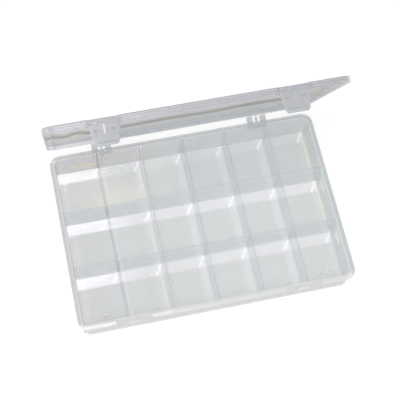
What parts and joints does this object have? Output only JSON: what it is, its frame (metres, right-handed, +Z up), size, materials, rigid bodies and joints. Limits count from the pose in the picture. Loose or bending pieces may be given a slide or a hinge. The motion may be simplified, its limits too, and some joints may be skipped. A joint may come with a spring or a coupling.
{
  "type": "component storage box",
  "caption": "Flat clear plastic storage box with a grid of open compartments, a hinged clear lid and milky latch clips at the front.",
  "frame": {"origin": "centre of the tray's underside, on the table", "axes": "+X along the hinges, the box's longest way; +Y from the latches at the front to the hinges at the back; +Z up"},
  "size_m": [0.21, 0.1541, 0.1547],
  "materials": {
    "tray_clear": "clear moulded polystyrene, polished",
    "lid_clear": "clear moulded polystyrene, polished",
    "divider_clear": "clear moulded polystyrene, polished",
    "latch_milky": "milky polypropylene, semi-gloss",
    "pin_clear": "clear moulded plastic"
  },
  "bodies": {
    "tray": {"tray": "tray_clear", "row_divider_front": "divider_clear", "row_divider_back": "divider_clear", "cross_divider_front_1": "divider_clear", "cross_divider_front_2": "divider_clear", "cross_divider_front_3": "divider_clear", "cross_divider_front_4": "divider_clear", "cross_divider_front_5": "divider_clear", "cross_divider_middle_1": "divider_clear", "cross_divider_middle_2": "divider_clear", "cross_divider_middle_3": "divider_clear", "cross_divider_middle_4": "divider_clear", "cross_divider_middle_5": "divider_clear", "cross_divider_back_1": "divider_clear", "cross_divider_back_2": "divider_clear", "cross_divider_back_3": "divider_clear", "cross_divider_back_4": "divider_clear", "cross_divider_back_5": "divider_clear"},
    "lid": {"lid": "lid_clear", "hinge_pin_left": "pin_clear", "hinge_pin_right": "pin_clear"},
    "latch_left": {"latch_left": "latch_milky"},
    "latch_right": {"latch_right": "latch_milky"}
  },
  "joints": [
    {"name": "lid_hinge", "type": "hinge", "parent": "tray", "child": "lid", "pos_m": [0, 0.0707, 0.0185], "axis": [-1, 0, 0], "range_deg": [-68.3, 111.7]},
    {"name": "latch_left_hinge", "type": "hinge", "parent": "lid", "child": "latch_left", "pos_m": [-0.0643, 0.0292, 0.15266], "axis": [-1, 0, 0], "range_deg": [0, 90]},
    {"name": "latch_right_hinge", "type": "hinge", "parent": "lid", "child": "latch_right", "pos_m": [0.0643, 0.0292, 0.15266], "axis": [-1, 0, 0], "range_deg": [0, 90]}
  ]
}
